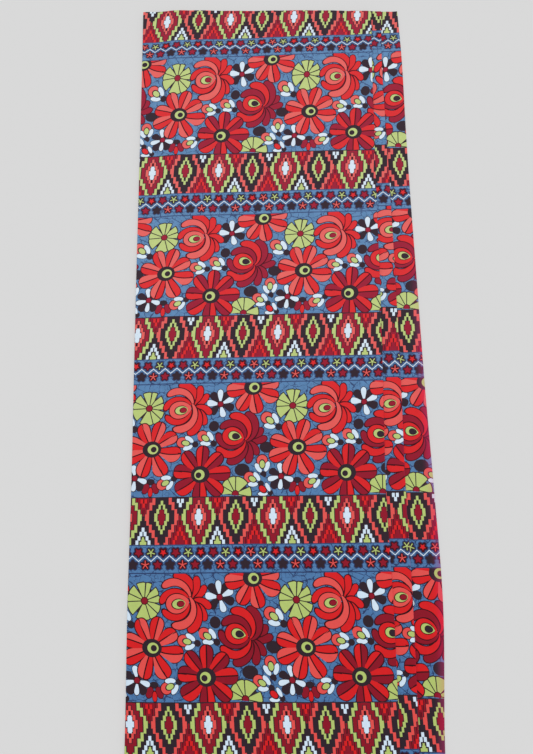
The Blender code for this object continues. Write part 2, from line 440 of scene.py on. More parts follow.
def build_shell(name, leaf, phase, reach, shown, fold, sheen_band):
    """One leaf of the stack as a shell of real thickness, with its print and its bake map.

    Within a distance of the named fold, on the nearer part of the cloth, a painted sheen lightens the print
    towards pale pink."""
    x, z, u, v = leaf.arrays()
    y = pull_in_ends(x, phase, reach)
    middle = np.stack([x, y, z], axis=2)
    offset = surface_normals(middle) * CLOTH_THICKNESS / 2.0
    points = np.concatenate([(middle + offset).reshape(-1, 3), (middle - offset).reshape(-1, 3)])
    numbers = np.arange(x.size).reshape(x.shape)
    border, under = rim_of(numbers), rim_of(numbers + x.size)
    faces = np.concatenate([
        face_corners(numbers).reshape(-1, 4),
        face_corners(numbers + x.size, flipped=True).reshape(-1, 4),
        np.stack([border, under, np.roll(under, -1), np.roll(border, -1)], axis=1),
    ])
    data = bpy.data.meshes.new(name)
    data.from_pydata(points.tolist(), [], faces.tolist())
    data.shade_smooth()
    data.set_sharp_from_angle(angle=math.radians(50.0))

    # Painted sheen: how strongly the pale pink highlight is painted near the fold, at each point
    painted_sheen = (smooth_step(1.0 - (edge(fold, y) - x) / sheen_band)
              * smooth_step((LENGTH / 2.0 - y - FOLD_SHEEN_FROM) / FOLD_SHEEN_OVER))
    places = np.tile(np.stack([u, v, painted_sheen], axis=2).reshape(-1, 3), (2, 1))
    data.attributes.new("print_place_and_sheen", "FLOAT_VECTOR", "POINT").data.foreach_set(
        "vector", places.reshape(-1))
    steps = np.linalg.norm(np.diff(middle[ROWS // 2], axis=0), axis=1)
    widths = np.concatenate([[0.0], np.cumsum(steps)])
    bake = shell_map(widths, y[:, 0] - y[0, 0], shown, len(border))
    data.uv_layers.new(name="OFBake").data.foreach_set("uv", bake.reshape(-1))
    return add_object(name, data), widths[-1]


def add_object(name, data):
    """A new object in the scene."""
    piece = bpy.data.objects.new(name, data)
    bpy.context.scene.collection.objects.link(piece)
    return piece


# Terms of the chart: numbers that the shader works out for each point of the cloth

class Term:
    """One number in a node tree, with ordinary arithmetic on it."""

    def __init__(self, socket):
        self.socket = socket
        self.tree = socket.id_data

    __add__ = __radd__ = lambda self, other: work("ADD", self, other)
    __sub__ = lambda self, other: work("SUBTRACT", self, other)
    __rsub__ = lambda self, other: work("SUBTRACT", other, self)
    __mul__ = __rmul__ = lambda self, other: work("MULTIPLY", self, other)
    __truediv__ = lambda self, other: work("DIVIDE", self, other)
    __lt__ = lambda self, other: work("LESS_THAN", self, other)
    __gt__ = lambda self, other: work("GREATER_THAN", self, other)
    __abs__ = lambda self: work("ABSOLUTE", self)


def feed(node, values):
    """Fill a node's inputs, by their names or numbers, with terms, outputs or plain values."""
    for name, value in values.items():
        value = value.socket if isinstance(value, Term) else value
        if isinstance(value, bpy.types.NodeSocket):
            node.id_data.links.new(value, node.inputs[name])
        else:
            node.inputs[name].default_value = value


def add_node(tree, kind, values, **settings):
    """A new shader node with these settings, and with its inputs filled."""
    node = tree.nodes.new("ShaderNode" + kind)
    for name, setting in settings.items():
        setattr(node, name, setting)
    feed(node, values)
    return node


def tree_of(operands):
    """The node tree of the terms among the operands."""
    return next(operand.tree for operand in operands if isinstance(operand, Term))


def work(operation, *operands):
    """A maths node; at least one of its operands is a term."""
    node = add_node(tree_of(operands), "Math", dict(enumerate(operands)), operation=operation)
    return Term(node.outputs["Value"])


def plus_times(value, factor, offset):
    """value * factor + offset, in one node."""
    return work("MULTIPLY_ADD", value, factor, offset)


def wrapped(value, lowest, highest):
    """The value moved by whole spans into a range."""
    return work("WRAP", value, highest, lowest)


def choose(mask, if_one, if_zero):
    """One number where the mask is 1 and another where it is 0."""
    return Term(add_node(mask.tree, "Mix", {0: mask, 2: if_zero, 3: if_one}).outputs[0])


def squares(x, y):
    """x * x + y * y."""
    return plus_times(x, x, y * y)


def ramp(value, stops, steady):
    """A colour ramp read by a value from 0 to 1; the stops are (place, and four values)."""
    node = add_node(value.tree, "ValToRGB", {"Fac": value})
    elements = node.color_ramp.elements
    node.color_ramp.interpolation = "CONSTANT" if steady else "LINEAR"
    elements[0].position = stops[0][0]
    elements[1].position = stops[-1][0]
    for stop in stops[1:-1]:
        elements.new(stop[0])
    for element, stop in zip(elements, stops):
        element.color = stop[1:]
    return node


def lookup(value, stops, steady):
    """Four terms read from a table by a value from 0 to 1; the stops are (place, a, b, c, d)."""
    node = ramp(value, stops, steady)
    parts = add_node(value.tree, "SeparateColor", {"Color": node.outputs["Color"]})
    return [Term(socket) for socket in (*parts.outputs, node.outputs["Alpha"])]


def in_group(paint, operands, details=()):
    """What a painter makes of the operands and details, worked out in a node group of its own."""
    inner = bpy.data.node_groups.new(paint.__name__, "ShaderNodeTree")
    for number in range(len(operands)):
        inner.interface.new_socket("number %d" % number, in_out="INPUT", socket_type="NodeSocketFloat")
    inner.interface.new_socket("ink", in_out="OUTPUT", socket_type="NodeSocketFloat")
    entry = inner.nodes.new("NodeGroupInput")
    ink = paint(*[Term(socket) for socket in entry.outputs[:len(operands)]], *details)
    feed(inner.nodes.new("NodeGroupOutput"), {0: ink})
    node = add_node(tree_of(operands), "Group", dict(enumerate(operands)), node_tree=inner)
    return Term(node.outputs[0])


# Shapes of the chart, in millimetres

OUTLINE = 0.95              # width of the dark outlines
SWEPT_OUTLINE = 0.85
SWEPT_FULLNESS = 1.48       # what scales a swept petal's squared half width in its formula
SWEPT_ROUNDING = 0.55       # how far its blunt end passes the last point, in half widths


def outlined(ink, measure, margin, colour, rim=MAROON):
    """One ink where a shape's measure is below 0, and its outline's ink up to the margin."""
    return choose(measure < 0.0, colour, choose(measure < margin, rim, ink))


def oval(ink, x, y, centre, radii, colour, turn=0.0, outline=0.0, rim=NEAR_BLACK):
    """An ellipse of one ink, turned by some degrees, with an outline of another."""
    cosine, sine = math.cos(math.radians(turn)), math.sin(math.radians(turn))
    dx = x - centre[0]
    dy = y - centre[1]
    along = plus_times(dx, cosine / radii[0], dy * (sine / radii[0]))
    across = plus_times(dx, -sine / radii[1], dy * (cosine / radii[1]))
    margin = (1.0 + 2.0 * outline / sum(radii)) ** 2 - 1.0
    return outlined(ink, squares(along, across) - 1.0, margin, colour, rim)


def teardrop(ink, x, y, blunt, tip, half_width, taper, colour, outline):
    """A drop of one ink from its blunt end to its tip, with a dark outline that thins out.

    The taper is 1 for an ellipse and larger for a sharper tip."""
    length = math.hypot(tip[0] - blunt[0], tip[1] - blunt[1])
    cosine, sine = (tip[0] - blunt[0]) / length, (tip[1] - blunt[1]) / length
    dx = x - blunt[0]
    dy = y - blunt[1]
    part = work("MINIMUM", plus_times(dx, cosine / length, dy * (sine / length)), 1.0)
    across = plus_times(dx, -sine, dy * cosine)
    rest = 1.0 - part
    fullest = 1.0 / (1.0 + taper)
    swell = half_width ** 2 / (fullest * (1.0 - fullest) ** taper)
    measure = plus_times(across, across, part * work("POWER", rest, taper) * -swell)
    margin = 2.0 * half_width * outline
    return outlined(ink, measure, work("MINIMUM", rest * (3.0 * margin), margin), colour)


def swept_petal(ink, x, y, tip, middle, end, half_width, colour):
    """A petal along the arc through three points, thin at its tip and blunt at its end."""
    tip, middle, end = [complex(*point) for point in (tip, middle, end)]
    lean = (end - tip) / (middle - tip)
    centre = tip + (middle - tip) * (lean - abs(lean) ** 2) / (2j * lean.imag)
    radius = abs(tip - centre)
    start, through, stop = [cmath.phase(point - centre) for point in (tip, middle, end)]
    sweep = (stop - start) % math.tau
    if sweep < (through - start) % math.tau:
        sweep -= math.tau
    sweep += math.copysign(SWEPT_ROUNDING * half_width / radius, sweep)
    swell = SWEPT_FULLNESS * half_width ** 2
    dx = x - centre.real
    dy = y - centre.imag
    off = work("SQRT", squares(dx, dy)) - radius
    facing = start + sweep / 2.0
    angle = wrapped(work("ARCTAN2", dy, dx), facing - math.pi, facing + math.pi)
    part = work("MAXIMUM", plus_times(angle, 1.0 / sweep, -start / sweep), -0.5)
    square = part * part
    fourth = square * square
    depth = plus_times(fourth * fourth, swell, -swell) * part
    measure = plus_times(off, off, depth)
    margin = 2.0 * half_width * SWEPT_OUTLINE
    return outlined(ink, measure, work("MINIMUM", plus_times(part, 6.0 * margin, 0.3), margin), colour)


def turned_angle(x, y):
    """The angle of a point round the origin, in turns from 0 to 1."""
    return plus_times(work("ARCTAN2", y, x), 1.0 / math.tau, 0.5)


def in_turns(angle):
    """An angle in degrees as turns from 0 to 1, like those of turned_angle."""
    return (angle + 180.0) % 360.0 / 360.0


def spoke_gaps(spokes):
    """Each spoke of a wheel, the next one anticlockwise, and the place and size of their gap.

    Spokes are rows that start with an angle in degrees."""
    spokes = sorted((spoke[0] % 360.0, *spoke[1:]) for spoke in spokes)
    for spoke, after in zip(spokes, spokes[1:] + spokes[:1]):
        gap = (after[0] - spoke[0]) % 360.0
        yield spoke, after, in_turns(spoke[0] + gap / 2.0), gap


def wheel(angle, spokes):
    """How far, in radians, an angle is from the nearest spoke, and that spoke's three values."""
    rows = []
    for spoke, after, halfway, gap in spoke_gaps(spokes):
        values = [(a + b) / 2.0 for a, b in zip(spoke[1:], after[1:])]
        rows.append((in_turns(spoke[0]), 0.0, *spoke[1:]))
        rows.append((halfway, math.radians(gap / 2.0), *values))
    rows.sort()
    first, last = rows[0], rows[-1]
    part = (1.0 - last[0]) / (first[0] + 1.0 - last[0])
    seam = [a + (b - a) * part for a, b in zip(last[1:], first[1:])]
    return lookup(angle, [(0.0, *seam), *rows, (1.0, *seam)], steady=False)


def wheel_sides(angle, spokes):
    """1 on the anticlockwise side of each spoke and 0 on its other side, and the spoke's value."""
    stops = []
    for spoke, after, halfway, _ in spoke_gaps(spokes):
        stops.append((in_turns(spoke[0]), 1.0, spoke[1], 0.0, 1.0))
        stops.append((halfway, 0.0, after[1], 0.0, 1.0))
    stops.sort()
    return lookup(angle, [(0.0, *stops[-1][1:]), *stops], steady=True)[:2]


LONGEST = 40.0              # scale of lengths inside the wheels' tables
WIDEST = 200.0              # scale of squared widths in them
DEEPEST_BEND = 4.0          # scale of a petal's bend


def nearest_petal(x, y, petals, fullness):
    """Where a point lies in its nearest petal: which part of the length, how far to the side,
    the petal's squared half width times the fullness, and the point's angle round the flower.

    Petals are rows that start (angle, length, half width)."""
    distance = work("SQRT", squares(x, y))
    angle = turned_angle(x, y)
    off, length, swell, _ = wheel(angle, [(a, l / LONGEST, fullness * w * w / WIDEST, 0.0)
                                          for a, l, w, *_ in petals])
    part = distance * work("COSINE", off) / (length * LONGEST)
    return part, distance * work("SINE", off), swell * WIDEST, angle


PARTING = 0.55              # half width of the dark line down the middle of a daisy's petal
DAISY_FULLNESS = 2.018      # what scales its petals' squared half widths in their formula
DAISY_HALF_WIDTH = 6.0      # of a middling petal, for the width of the outline


def daisy(x, y, ink, petals, behind, disc, eye, pupil):
    """A big flower with two-tone petals round a black disc with a lime eye.

    Petals are rows (angle, length, half width, bend to the anticlockwise side at its middle);
    behind is the ink of their clockwise halves, disc its radii, eye and pupil (middle, radii)."""
    part, aside, swell, angle = nearest_petal(x, y, petals, DAISY_FULLNESS)
    side, bend = wheel_sides(angle, [(a, 0.5 + b / DEEPEST_BEND / 2.0) for a, _, _, b in petals])
    bent = plus_times(bend, 2.0 * DEEPEST_BEND, -DEEPEST_BEND) * (part * 4.0) * (1.0 - part)
    across = aside * plus_times(side, 2.0, -1.0) - bent
    measure = across * across - swell * work("POWER", part, 1.5) * (1.0 - work("POWER", part, 5.0))
    ink = choose(measure < 2.0 * DAISY_HALF_WIDTH * OUTLINE, MAROON, ink)
    ink = choose((measure < 0.0) * (abs(across) > PARTING), choose(across > 0.0, RED, behind), ink)
    ink = oval(ink, x, y, (0.0, 0.0), disc, NEAR_BLACK)
    ink = oval(ink, x, y, *eye, LIME)
    return oval(ink, x, y, *pupil, NEAR_BLACK)


SPOKE_HALF_WIDTH = 0.42
NOTCH_FROM = 11.5           # from here outwards the notches show the ground
NOTCH_EDGE = 0.8            # width of their dark edges
RIM_DIP = (0.7, 0.4)        # depth of the rim's dip at a spoke, and how fast it ends to the side
CUT_SLANT = 0.09            # the line that cuts the half rosette: its slope and its place up
CUT_PLACE = -1.3


def rosette(x, y, ink, spokes):
    """A lime flower cut into wedges by dark spokes, some of which widen to open notches.

    Spokes are rows (angle, rim, widening for each millimetre outwards, where that starts)."""
    distance = work("SQRT", squares(x, y))
    off, reach, notch, start = wheel(turned_angle(x, y), [(a, l / LONGEST, n, f / LONGEST)
                                                          for a, l, n, f in spokes])
    beside = off * distance
    beyond = work("MAXIMUM", distance - start * LONGEST, 0.0)
    opening = plus_times(beyond, notch, SPOKE_HALF_WIDTH)
    rim = distance - reach * LONGEST + work("MAXIMUM", RIM_DIP[0] - beside * RIM_DIP[1], 0.0)
    open_part = (distance > NOTCH_FROM) * (beside < opening - NOTCH_EDGE)
    ink = choose((rim < OUTLINE) * (1.0 - open_part), NEAR_BLACK, ink)
    ink = choose((rim < 0.0) * (beside > opening), LIME, ink)
    return oval(ink, x, y, (0.0, 0.0), (2.6, 2.6), CRIMSON, 0.0, 0.7, MAROON)


def half_rosette(x, y, ink, spokes):
    """A rosette that the band's bottom line cuts, a little aslant."""
    return choose(plus_times(x, CUT_SLANT, y) > CUT_PLACE, rosette(x, y, ink, spokes), ink)


DROP_FULLNESS = 2.6         # as for the daisies, for the small flowers' petals
DROP_HALF_WIDTH = 2.5


def petal_ring(ink, x, y, petals, colour, outline):
    """Drop-shaped petals of one ink round a middle; rows are (angle, length, half width)."""
    part, aside, swell, _ = nearest_petal(x, y, petals, DROP_FULLNESS)
    square = part * part
    measure = aside * aside - square * swell * (1.0 - square * square)
    return outlined(ink, measure, 2.0 * DROP_HALF_WIDTH * outline, colour, NEAR_BLACK)


def small_flower(x, y, ink, black_petals, white_petals):
    """A small flower of white petals over black ones."""
    ink = petal_ring(ink, x, y, black_petals, NEAR_BLACK, 0.0)
    ink = petal_ring(ink, x, y, white_petals, WHITE, 0.6)
    return oval(ink, x, y, (0.0, 0.0), (2.3, 2.3), CRIMSON, 0.0, 0.7, MAROON)


def rose(x, y, ink, petals, heart, drops):
    """A rose of swept petals round an eye; the drops are its ring, eye and pupil.

    Petals are rows (tip, middle, end, half width, ink), drawn in their order, and the heart is
    the place where they meet."""
    ink = oval(ink, x, y, heart, (2.0, 2.0), MAROON)
    for petal in petals:
        ink = swept_petal(ink, x, y, *petal)
    for drop in drops:
        ink = teardrop(ink, x, y, *drop)
    return ink


def bud(x, y, ink):
    """A bud on its side: a black stem end, two white sepals, a coral cap and a lime heart."""
    ink = oval(ink, x, y, (9.2, -0.2), (3.0, 2.9), NEAR_BLACK)
    ink = oval(ink, x, y, (-3.4, 0.3), (4.9, 4.7), CORAL, 0.0, 0.8, MAROON)
    ink = oval(ink, x, abs(y), (2.7, 4.0), (4.7, 2.25), WHITE, -27.0, 0.6)
    return oval(ink, x, y, (0.0, 0.0), (3.4, 2.25), LIME, -4.0, 0.95)


def open_bud(x, y, ink):
    """The bud that the band's bottom line cuts: a red heart between white sepals."""
    ink = oval(ink, x, y, (3.8, -1.8), (2.4, 2.5), NEAR_BLACK)
    ink = oval(ink, x, y, (-3.0, -2.7), (4.4, 1.8), WHITE, 0.0, 0.5)
    ink = oval(ink, x, y, (1.5, 3.2), (4.1, 1.7), WHITE, -62.0, 0.5)
    return oval(ink, x, y, (-3.2, 1.5), (3.5, 2.35), RED, -42.0, 0.9, MAROON)


def tulip(x, y, ink):
    """A small crimson flower that hangs from a black cap."""
    ink = oval(ink, x, y, (-0.2, 6.0), (3.9, 2.8), NEAR_BLACK)
    ink = oval(ink, abs(x), y, (4.3, 0.2), (2.9, 4.5), CRIMSON, 22.0, 0.6, MAROON)
    return oval(ink, x, y, (0.0, -3.0), (1.9, 3.9), RED, 0.0, 0.7, MAROON)


# The floral band: places are across the repeat and up from the band's bottom line
BUDS = (                    # across, up, angle from cap to stem, size
    (36.0, 48.9, -8.0, 0.97), (53.8, 53.1, -32.0, 1.0), (112.4, 68.8, -36.0, 1.1),
    (106.2, 28.6, -82.0, 1.0), (97.5, 15.4, -27.0, 0.95), (19.0, 12.9, 28.0, 0.96),
)
BLACK_DOTS = (              # across, up, radii, turn
    (61.2, 64.2, (4.7, 5.0), 0.0), (88.0, 23.8, (6.8, 5.6), 0.0), (109.8, 44.0, (6.4, 5.1), -8.0),
)
MOTIFS = (                  # painter, across, up and the painter's details, in drawing order
    (open_bud, 110.0, 5.0),
    (small_flower, 66.35, 84.9,
     ((129.0, 14.1, 3.7), (57.0, 13.4, 3.4), (-19.0, 13.2, 3.9), (-135.0, 12.6, 3.9)),
     ((93.0, 14.0, 2.4), (25.0, 13.0, 2.6), (173.0, 12.5, 3.1), (-74.5, 12.6, 2.6))),
    (small_flower, 123.4, 17.7,
     ((150.0, 12.2, 3.4), (-129.0, 13.5, 3.8), (-58.0, 12.9, 3.8), (45.0, 7.0, 2.6)),
     ((98.0, 11.8, 2.4), (-19.0, 11.4, 2.3), (-94.5, 11.6, 2.0), (-166.5, 12.3, 2.3))),
    (rosette, 0.5, 82.4, (
        (84.5, 15.2, 0.0, 5.0), (120.0, 15.2, 0.13, 5.0), (155.5, 14.9, 0.0, 5.0), (182.5, 14.9, 0.0, 5.0),
        (233.5, 15.5, 0.16, 4.0), (286.8, 15.6, 0.0, 5.0), (316.9, 15.4, 0.0, 5.0), (349.0, 14.0, 0.2, 9.0),
        (20.3, 13.6, 0.0, 5.0), (56.0, 15.4, 0.34, 8.6),
    )),
    (half_rosette, 82.3, 2.6, (
        (89.5, 15.2, 0.0, 5.0), (117.7, 15.1, 0.0, 5.0), (149.0, 14.0, 0.0, 5.0), (184.0, 12.8, 0.0, 5.0),
        (32.0, 13.9, 0.2, 4.5), (240.0, 12.8, 0.0, 5.0), (300.0, 12.8, 0.0, 5.0), (-12.0, 14.4, 0.0, 5.0),
    )),
    (rose, 80.9, 54.8, (
    ((10.5, -5.0), (18.2, -1.5), (23.2, 5.6), 3.2, CRIMSON),
    ((10.5, -5.0), (20.0, -5.2), (27.2, -2.2), 2.9, CRIMSON),
    ((10.3, -5.5), (17.2, -9.5), (19.8, -16.2), 2.8, CRIMSON),
    ((10.0, -5.5), (13.8, -14.0), (12.3, -23.0), 3.1, CRIMSON),
    ((10.3, -5.0), (17.5, 8.8), (10.8, 19.4), 4.2, CRIMSON),
    ((9.4, -5.0), (6.8, -17.0), (-4.4, -22.8), 3.9, CRIMSON),
    ((9.3, -4.0), (12.0, 8.5), (-3.3, 18.6), 3.4, RED),
    ((9.0, -4.0), (-4.8, -16.9), (-14.6, -11.6), 3.3, RED),
    ((9.0, -2.5), (1.5, 11.2), (-12.0, 8.6), 3.1, CRIMSON),
    ((8.6, -4.0), (-7.6, -8.4), (-15.3, 1.0), 3.1, CRIMSON),
    ), (9.4, -4.0), (
        ((-11.2, 2.2), (7.9, -2.9), 8.2, 1.25, RED, 0.9),
        ((-5.8, 1.3), (5.9, -1.5), 4.0, 1.6, LIME, 0.8),
        ((-2.5, 0.3), (4.6, -1.0), 2.6, 1.5, NEAR_BLACK, 0.4),
    )),
    (rose, 31.0, 79.9, (
    ((10.5, 2.7), (10.3, 16.4), (-2.0, 23.1), 3.6, RED),
    ((11.1, 3.5), (15.6, 12.5), (15.6, 21.0), 2.9, RED),
    ((12.0, 3.2), (17.8, 6.6), (22.3, 13.6), 2.6, RED),
    ((11.9, 1.4), (18.5, -4.2), (20.9, -12.6), 3.0, RED),
    ((12.0, 2.4), (20.3, 2.0), (25.6, -3.2), 2.8, RED),
    ((11.6, 2.2), (16.0, -10.5), (8.2, -21.2), 3.9, RED),
    ((9.2, 2.6), (3.8, 15.4), (-12.6, 14.9), 3.1, CORAL),
    ((9.0, 5.8), (10.8, -10.0), (-5.2, -17.8), 3.3, CORAL),
    ((8.3, 4.6), (-5.0, 10.0), (-15.2, 1.6), 2.8, RED),
    ((8.3, 0.4), (-3.0, -11.3), (-13.4, -6.2), 2.7, RED),
    ), (9.8, 3.0), (
        ((-11.3, -1.6), (8.5, 2.0), 8.0, 1.25, CORAL, 0.9),
        ((-6.0, -1.0), (5.2, 0.6), 3.8, 1.1, LIME, 0.8),
        ((-1.5, -0.5), (4.8, 0.4), 2.1, 1.3, CRIMSON, 0.7),
    )),
    (daisy, 5.25, 43.8, (
        (114.0, 25.7, 5.5, 0.8), (73.0, 26.1, 5.7, 0.3), (31.0, 25.2, 5.5, 0.9), (-9.5, 27.1, 7.1, -2.3),
        (-63.8, 26.6, 6.8, -1.2), (-109.8, 26.1, 5.5, -0.7), (-159.5, 26.8, 6.7, 0.2),
        (161.3, 25.3, 5.4, -0.3),
    ), CORAL, (8.6, 7.5), ((0.9, 0.0), (4.9, 4.4)), ((1.6, -0.1), (2.65, 2.6))),
    (daisy, 50.3, 20.2, (
        (86.0, 25.8, 5.5, -0.4), (44.5, 25.8, 5.1, 0.0), (2.5, 27.1, 7.1, 0.0), (-42.5, 26.0, 5.5, 0.0),
        (-90.0, 26.0, 6.1, 0.0), (-145.5, 26.1, 7.0, 1.4), (172.3, 23.9, 5.8, -0.9), (127.6, 25.2, 5.5, 0.3),
    ), CRIMSON, (8.4, 7.6), ((-0.7, -0.3), (4.6, 4.6)), ((-1.6, -0.7), (2.6, 2.6))),
    (daisy, 95.9, 100.7, (
        (12.0, 23.4, 5.4, 0.0), (-24.5, 25.6, 6.9, -1.8), (-79.5, 25.3, 6.3, -0.8), (-120.0, 24.8, 5.2, 0.3),
        (-172.0, 24.4, 6.9, 0.5), (151.0, 25.0, 5.4, 0.0), (100.0, 25.0, 6.0, 0.0), (55.0, 25.0, 5.6, 0.0),
    ), CORAL, (8.5, 7.6), ((0.9, -0.4), (4.7, 4.6)), ((1.5, -0.5), (2.65, 2.6))),
)
FAR_AWAY = 99.0


def local(u, v, across, up):
    """Coordinates from a motif's middle, the nearest one across."""
    x = wrapped(u, across - REPEAT_ACROSS / 2.0, across + REPEAT_ACROSS / 2.0) - across
    return x, v - up


def nearest_bud(u, v):
    """Local coordinates in whichever bud is the nearest, from between its heart and its stem."""
    x, y, nearest = FAR_AWAY, FAR_AWAY, 20.0 ** 2
    for across, up, turn, size in BUDS:
        cosine, sine = math.cos(math.radians(turn)) / size, math.sin(math.radians(turn)) / size
        dx, dy = local(u, v, across, up)
        along, aside = plus_times(dx, cosine, dy * sine), plus_times(dx, -sine, dy * cosine)
        square = squares(along - 3.0, aside)
        near = square < nearest
        x = choose(near, along, x)
        y = choose(near, aside, y)
        nearest = work("MINIMUM", square, nearest)
    return x, y


def floral_band(u, v, ink):
    """The floral band: flowers, buds and dots on a blue ground."""
    for across, up, radii, turn in BLACK_DOTS:
        ink = oval(ink, *local(u, v, across, up), (0.0, 0.0), radii, NEAR_BLACK, turn)
    ink = in_group(tulip, (*local(u, v, 5.5, 8.1), ink))
    ink = in_group(bud, (*nearest_bud(u, v), ink))
    for painter, across, up, *details in MOTIFS:
        ink = in_group(painter, (*local(u, v, across, up), ink), details)
    return ink


# The diamond band: four stair-edged rings round each diamond's middle, from the outermost in, and
# the two kinds of core. Rows are (distance up or down from the middle, half width from there on)
RING_STAIRS = (
    ((0.0, 15.1), (2.8, 13.7), (6.8, 11.3), (12.9, 8.8), (17.5, 6.0)),
    ((0.0, 10.6), (5.7, 7.9), (10.5, 5.2), (16.6, 2.7), (21.4, 1.1)),
    ((0.0, 6.6), (3.5, 4.8), (7.3, 2.95), (11.0, 1.1), (14.4, 0.0)),
    ((0.0, 3.6), (2.7, 2.2), (6.4, 0.8), (10.0, 0.0)),
)
RING_INKS = ((LIME, CORAL), (CRIMSON, NEAR_BLACK), (CORAL, LIME), (MAROON, NEAR_BLACK))
CORE_STAIRS = (
    ((0.0, 3.4), (2.2, 2.0), (5.8, 1.5), (6.9, 0.0)),
    ((0.0, 3.2), (2.2, 2.2), (4.6, 1.7), (6.5, 0.0)),
)
STAIR_SPAN = 25.0           # scale of distances up in these tables
STAIR_WIDTH = 20.0          # scale of half widths in them
STAIR_LINE = 0.4            # height of the dark line round each ring, and its widths
STAIR_LINES = (0.7, 0.9, 0.75, 0.25)
ECHO_LINE = (2.3, 0.3)      # a dark line in the crimson gaps: distance from the rings, half width
DIAMOND_MIDDLE = 23.45
DIAMOND_PITCH = REPEAT_ACROSS / 2.0
WHITE_DIAMOND = -DIAMOND_PITCH / 4.0
CHEVRON_RISE = 3.7
CHEVRON_RUN = 1.8
CHEVRON_TIP = 8.6
CHEVRON_TOP = 15.9          # the upper chevrons end here, below their next step
CHEVRON_WIDTHS = (1.25, 1.75)       # half widths of a chevron and of its dark outline
GAP_PARTING = 1.2           # height where a gap changes from crimson to black or back
TREE_STAIRS = ((0.0, 0.0), (16.9, 0.9), (18.8, 1.5), (20.8, 2.9))


def stairs(up, tables):
    """The half widths of stair-edged shapes at a distance up from their middle, as terms."""
    places = sorted({place for table in tables for place, _ in table})
    stops = []
    for place in places:
        widths = [[width for start, width in table if start <= place][-1] for table in tables]
        widths += [0.0] * (4 - len(widths))
        stops.append((place / STAIR_SPAN, *(width / STAIR_WIDTH for width in widths)))
    terms = lookup(up * (1.0 / STAIR_SPAN), stops, steady=True)
    return [term * STAIR_WIDTH for term in terms[:len(tables)]]


def gap_ink(aside, x, y, up):
    """The ink between two diamonds: black round a white chevron, or crimson round a red one."""
    from_gap = abs(aside - DIAMOND_PITCH / 4.0)
    right = x > 0.0
    dark = abs(right - (y < GAP_PARTING)) < 0.5
    step = work("FLOOR", (up - CHEVRON_TIP) * (1.0 / CHEVRON_RISE))
    off_chevron = abs(from_gap - step * CHEVRON_RUN)
    shown = (up > CHEVRON_TIP) * (y < CHEVRON_TOP)
    ink = choose(dark, NEAR_BLACK, CRIMSON)
    ink = choose((off_chevron < CHEVRON_WIDTHS[1]) * shown, choose(dark, NEAR_BLACK, MAROON), ink)
    ink = choose((off_chevron < CHEVRON_WIDTHS[0]) * shown, choose(dark, WHITE, RED), ink)
    in_tree = from_gap < stairs(up, (TREE_STAIRS,))[0]
    return choose(in_tree * dark * right, LIME, ink)


def diamond_band(u, v):
    """The ink of the diamond band, from the place across and up from its bottom line."""
    x = wrapped(u, WHITE_DIAMOND - DIAMOND_PITCH / 2.0, WHITE_DIAMOND + DIAMOND_PITCH / 2.0)
    x = x - WHITE_DIAMOND
    y = v - DIAMOND_MIDDLE
    aside = abs(x)
    up = abs(y)
    ink = gap_ink(aside, x, y, up)
    red_centred = aside > DIAMOND_PITCH / 4.0
    from_middle = choose(red_centred, DIAMOND_PITCH / 2.0 - aside, aside)
    lines = stairs(up - STAIR_LINE, RING_STAIRS)
    widths = stairs(up, RING_STAIRS)
    echo = abs(from_middle - widths[0] - ECHO_LINE[0]) < ECHO_LINE[1]
    ink = choose((abs(ink - CRIMSON) < 0.5) * echo, MAROON, ink)
    for line, line_width, width, (white_ink, red_ink) in zip(lines, STAIR_LINES, widths, RING_INKS):
        ink = choose((from_middle - line_width < line) * (line > 0.0), NEAR_BLACK, ink)
        ink = choose(from_middle < width, choose(red_centred, red_ink, white_ink), ink)
    white_core, red_core = stairs(up, CORE_STAIRS)
    return choose(from_middle < choose(red_centred, red_core, white_core),
                  choose(red_centred, CRIMSON, WHITE), ink)


# The star band, down from its top line
STAR_PITCH = REPEAT_ACROSS / 12.0
UPPER_STARS = (7.1, 6.7)    # across and down
LOWER_STARS = (1.9, 17.1)
ZIGZAG = (14.2, 9.4)        # its valleys and peaks, down
UPPER_STAR_INKS = (LIME, RED, CRIMSON, LIME, RED, CRIMSON, LIME, RED, CORAL, LIME, RED, CRIMSON)
LOWER_STAR_INKS = (CORAL, CRIMSON, NEAR_BLACK) * 4
STAR_BODIES = {
    LIME: NEAR_BLACK, RED: MAROON, CRIMSON: MAROON, CORAL: MAROON, NEAR_BLACK: NEAR_BLACK,
}
STAR_RADIUS = 4.6
STAR_BODY = (0.7, 4.5)      # how far the dark body lies outside the star, and its radius
STAR_HALO = (1.5, 5.3)
STAR_SLANT = math.radians(62.8)
ARM_LENGTH = 3.7            # of the thin lime and coral asterisks inside their dark stars
ARM_HALF_WIDTH = 0.42
STAR_CORE = 0.75            # how far the ink lies inside the star's outline, in the crimson ones less
CRIMSON_CORE = 0.3
ZIGZAG_WIDTHS = (0.5, 0.95)         # half widths of the white line and of the dark one under it


